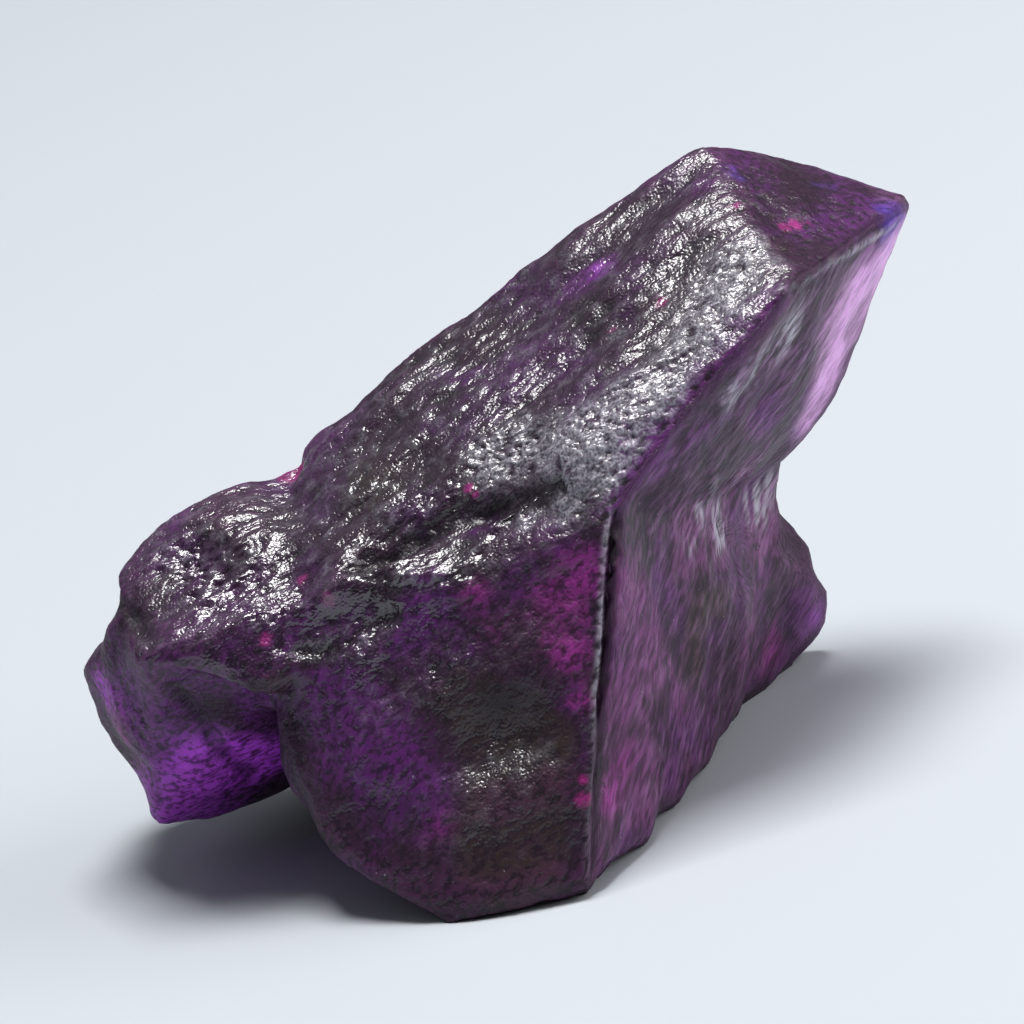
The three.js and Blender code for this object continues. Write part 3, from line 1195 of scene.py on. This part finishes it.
def floor_material(colour):
    """Plain pale floor with a faint unevenness."""
    material = bpy.data.materials.new("PaleFloor")
    material.use_nodes = True
    tree = material.node_tree
    tree.nodes.clear()
    net = Wire(tree)
    place = net.make("ShaderNodeTexCoord", None, None, 3)
    uneven = place.noise(9.0, 2.0, 0.5)
    paler = tuple(min(1.0, c * 1.02) for c in colour[:3]) + (1.0,)
    base = net.make("ShaderNodeRGB")
    base.socket.default_value = colour[:]
    shader = net.make(
        "ShaderNodeBsdfPrincipled",
        None,
        {"Base Color": base.tinted(paler, uneven), "Roughness": FLOOR_ROUGHNESS},
    )
    net.make("ShaderNodeOutputMaterial", None, {"Surface": shader})
    return material


# Operators


class SAPPHIRE_OT_stone(Operator):
    """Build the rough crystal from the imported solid"""

    bl_idname = "sapphire.build_stone"
    bl_label = "Build stone"
    bl_options = {"REGISTER", "UNDO"}

    def execute(self, context):
        scene = context.scene
        sizes = scene.sapphire_sizes
        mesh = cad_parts["sapphire"].data.copy()
        mesh.materials.clear()
        split_mesh(mesh, sizes.cuts)
        skin = Skin(mesh)
        skin.even_shape(sizes.even_rounds)
        mark_zones(skin)
        stone = bpy.data.objects.new("stone", mesh)
        scene.collection.objects.link(stone)
        material = crystal_material(scene.sapphire_colours)
        tree, sockets = relief_tree(sizes, material)
        relief = stone.modifiers.new("relief", "NODES")
        relief.node_group = tree
        for name, identifier in sockets.items():
            relief[identifier] = float(getattr(sizes, name))
        graph = context.evaluated_depsgraph_get()
        shaped = bpy.data.meshes.new_from_object(
            stone.evaluated_get(graph), preserve_all_data_layers=True, depsgraph=graph
        )
        stone.modifiers.clear()
        stone.data = shaped
        shaped.name = "stone"
        bpy.data.meshes.remove(mesh)
        if not len(shaped.polygons):
            raise RuntimeError("the relief left no faces")
        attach(stone, "root")
        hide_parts("sapphire")
        return {"FINISHED"}


class SAPPHIRE_OT_stage(Operator):
    """Set the floor, the lamps, the room light and the camera"""

    bl_idname = "sapphire.set_stage"
    bl_label = "Set stage"
    bl_options = {"REGISTER", "UNDO"}

    def execute(self, context):
        scene = context.scene
        stage = scene.sapphire_stage
        self.lay_floor(scene, stage)
        self.hang_lamp(
            scene, "softbox", stage.softbox_size, stage.softbox_power, stage.softbox_place
        )
        self.hang_lamp(scene, "fill", stage.fill_size, stage.fill_power, stage.fill_place)
        self.light_room(scene, stage)
        self.place_camera(scene, stage)
        scene.view_settings.view_transform = "Standard"
        return {"FINISHED"}

    def lay_floor(self, scene, stage):
        half = FLOOR_HALF
        mesh = bpy.data.meshes.new("floor")
        corners = [(-half, -half, 0), (half, -half, 0), (half, half, 0), (-half, half, 0)]
        mesh.from_pydata(corners, [], [(0, 1, 2, 3)])
        mesh.materials.append(floor_material(stage.floor))
        floor = bpy.data.objects.new("floor", mesh)
        scene.collection.objects.link(floor)

    def hang_lamp(self, scene, name, size, power, place):
        light = bpy.data.lights.new(name, "AREA")
        light.shape = "SQUARE"
        light.size = size
        light.energy = power
        light.color = LAMP_COLOUR
        lamp = bpy.data.objects.new(name, light)
        lamp.location = place
        towards = Vector(LAMP_TARGET) - Vector(place)
        lamp.rotation_euler = towards.to_track_quat("-Z", "Y").to_euler()
        scene.collection.objects.link(lamp)

    def light_room(self, scene, stage):
        world = bpy.data.worlds.new("room")
        world.use_nodes = True
        world.node_tree.nodes.clear()
        net = Wire(world.node_tree)
        towards = net.make("ShaderNodeTexCoord", None, None, 0)
        lift = net.make(
            "ShaderNodeVectorMath",
            {"operation": "DOT_PRODUCT"},
            {0: towards, 1: ROOM_AXIS},
            1,
        )
        strength = stage.room_shade + lift.step(-0.2, 0.8) * stage.room_light
        shade = net.make(
            "ShaderNodeBackground",
            None,
            {"Color": ROOM_COLOUR, "Strength": strength},
        )
        net.make("ShaderNodeOutputWorld", None, {"Surface": shade})
        scene.world = world

    def place_camera(self, scene, stage):
        camera = bpy.data.cameras.new("camera")
        camera.sensor_fit = "HORIZONTAL"
        camera.sensor_width = SENSOR_WIDTH
        camera.lens = stage.lens
        camera.clip_start, camera.clip_end = CLIP_RANGE
        view = bpy.data.objects.new("camera", camera)
        down = stage.elevation
        forward = Vector((0, math.cos(down), -math.sin(down)))
        level = Vector((1, 0, 0))
        upward = Vector((0, math.sin(down), math.cos(down)))
        lean = -stage.roll
        right = math.cos(lean) * level + math.sin(lean) * upward
        above = -math.sin(lean) * level + math.cos(lean) * upward
        turn = Matrix((right, above, -forward)).transposed()
        place = Vector(stage.aim) - forward * stage.distance
        view.matrix_world = Matrix.Translation(place) @ turn.to_4x4()
        scene.collection.objects.link(view)
        scene.camera = view


class SAPPHIRE_PT_panel(Panel):
    """Sizes, colours and stage of the rough sapphire"""

    bl_idname = "SAPPHIRE_PT_panel"
    bl_label = "Rough sapphire"
    bl_space_type = "VIEW_3D"
    bl_region_type = "UI"
    bl_category = "Sapphire"

    def draw(self, context):
        layout = self.layout
        for group in ("sapphire_sizes", "sapphire_colours", "sapphire_stage"):
            box = layout.box()
            settings = getattr(context.scene, group)
            for name in settings.__annotations__:
                box.prop(settings, name)
        layout.operator(SAPPHIRE_OT_stone.bl_idname)
        layout.operator(SAPPHIRE_OT_stage.bl_idname)


CLASSES = (
    StoneSizes,
    StoneColours,
    StageSettings,
    SAPPHIRE_OT_stone,
    SAPPHIRE_OT_stage,
    SAPPHIRE_PT_panel,
)


def register():
    for item in CLASSES:
        bpy.utils.register_class(item)
    bpy.types.Scene.sapphire_sizes = PointerProperty(type=StoneSizes)
    bpy.types.Scene.sapphire_colours = PointerProperty(type=StoneColours)
    bpy.types.Scene.sapphire_stage = PointerProperty(type=StageSettings)


def unregister():
    del bpy.types.Scene.sapphire_stage
    del bpy.types.Scene.sapphire_colours
    del bpy.types.Scene.sapphire_sizes
    for item in reversed(CLASSES):
        bpy.utils.unregister_class(item)


def main():
    register()
    bpy.ops.sapphire.set_stage()
    bpy.ops.sapphire.build_stone()


if __name__ == "__main__":
    main()
